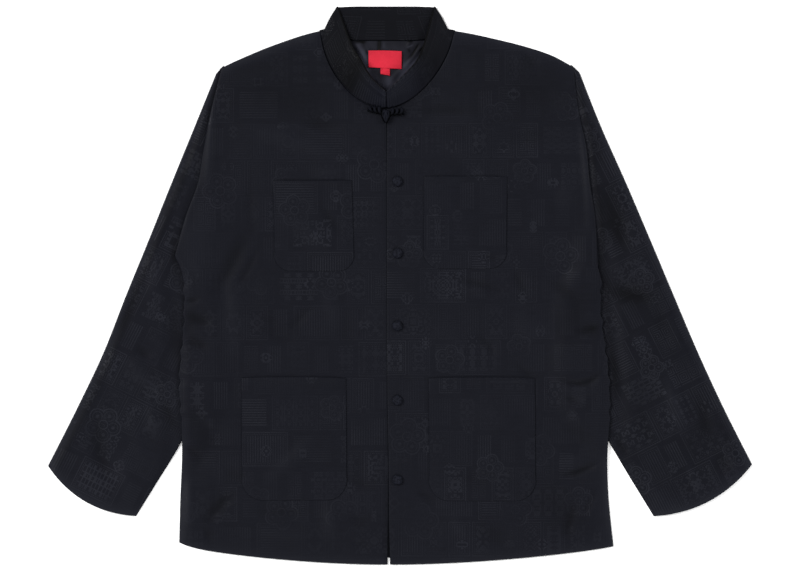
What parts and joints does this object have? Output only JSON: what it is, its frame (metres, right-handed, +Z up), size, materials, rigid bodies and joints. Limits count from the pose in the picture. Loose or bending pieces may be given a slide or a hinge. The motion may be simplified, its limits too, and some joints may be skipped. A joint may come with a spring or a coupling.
{
  "type": "tang jacket",
  "caption": "Collared tang jacket laid flat, buttoned, with patch pockets and a knotted frog closure at the throat.",
  "frame": {"origin": "middle of the jacket's outline, on the surface that it lies on", "axes": "+X to the wearer's left, along the longest extent, +Y to the collar, +Z up from the surface, the shortest extent"},
  "size_m": [1.01, 0.7997, 0.0353],
  "materials": {
    "cloth": "black-navy tonal jacquard with a low satin sheen",
    "trim": "satin-bound cord and cloth-covered buttons",
    "lining": "grey satin lining",
    "label": "plain red woven label"
  },
  "bodies": {
    "root": {"back": "cloth", "front_right": "cloth", "front_left": "cloth", "underlap": "cloth", "sleeve_right": "cloth", "sleeve_left": "cloth", "collar": "cloth", "neck_lining": "lining", "label": "label", "size_tab": "label", "pocket_chest_right": "cloth", "pocket_chest_left": "cloth", "pocket_hip_right": "cloth", "pocket_hip_left": "cloth", "button_1": "trim", "button_2": "trim", "button_3": "trim", "button_4": "trim", "button_5": "trim", "frog_wing_right": "trim", "frog_wing_left": "trim", "frog_knot": "trim"}
  },
  "joints": []
}
